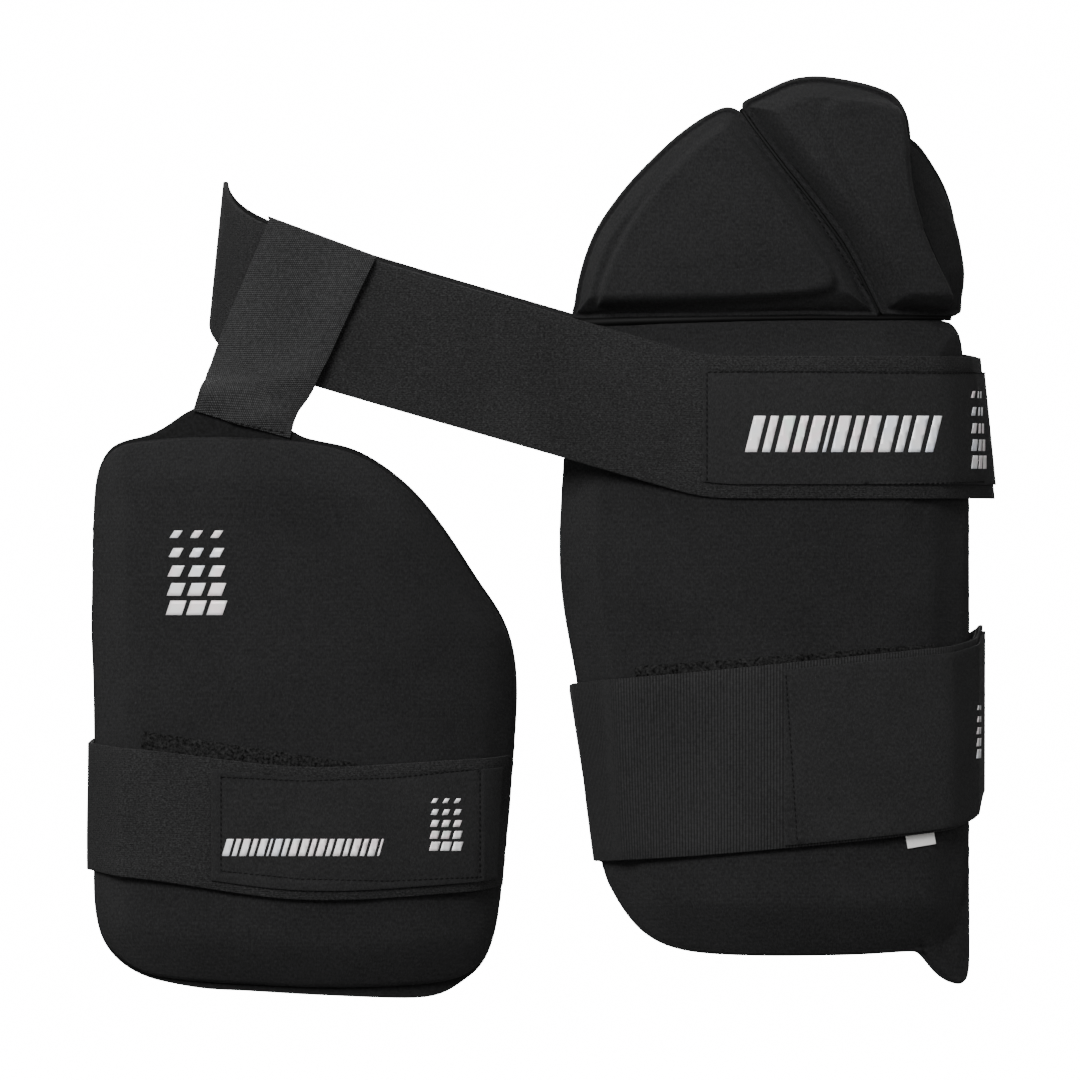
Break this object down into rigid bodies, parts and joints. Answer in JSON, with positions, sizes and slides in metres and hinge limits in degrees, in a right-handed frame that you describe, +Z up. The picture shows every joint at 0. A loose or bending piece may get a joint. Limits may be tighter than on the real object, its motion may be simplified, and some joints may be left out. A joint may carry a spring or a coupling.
{
  "type": "cricket thigh guard",
  "caption": "Soft padded guards for both thighs, with hip pads, carried by one elastic waist belt and closed by elastic leg straps.",
  "frame": {"origin": "middle of the waist, inside the waist belt, level with the belt's mid line at the front", "axes": "+Z up as worn, -Y towards the front where the pads face, +X towards the larger outer guard"},
  "size_m": [0.4759, 0.2175, 0.4801],
  "materials": {
    "pad_cloth": "matt knit over foam",
    "lining_cloth": "matt brushed lining",
    "elastic_cloth": "matt woven elastic",
    "panel_cloth": "smooth cloth",
    "webbing_cloth": "satin twill webbing",
    "pile_cloth": "brushed loop pile",
    "label_cloth": "smooth label tape"
  },
  "bodies": {
    "root": {"outer_backing": "lining_cloth", "outer_pad": "pad_cloth", "front_hip_pad": "pad_cloth", "side_hip_pad": "pad_cloth", "rear_hip_pad": "pad_cloth", "inner_backing": "lining_cloth", "inner_pad": "pad_cloth", "thigh_strap": "elastic_cloth", "thigh_strap_panel": "panel_cloth", "thigh_pile": "pile_cloth", "inner_strap": "elastic_cloth", "inner_strap_panel": "panel_cloth", "inner_pile": "pile_cloth", "waist_belt": "elastic_cloth", "waist_belt_panel": "panel_cloth", "hanger_strap": "webbing_cloth", "care_label": "label_cloth"}
  },
  "joints": []
}
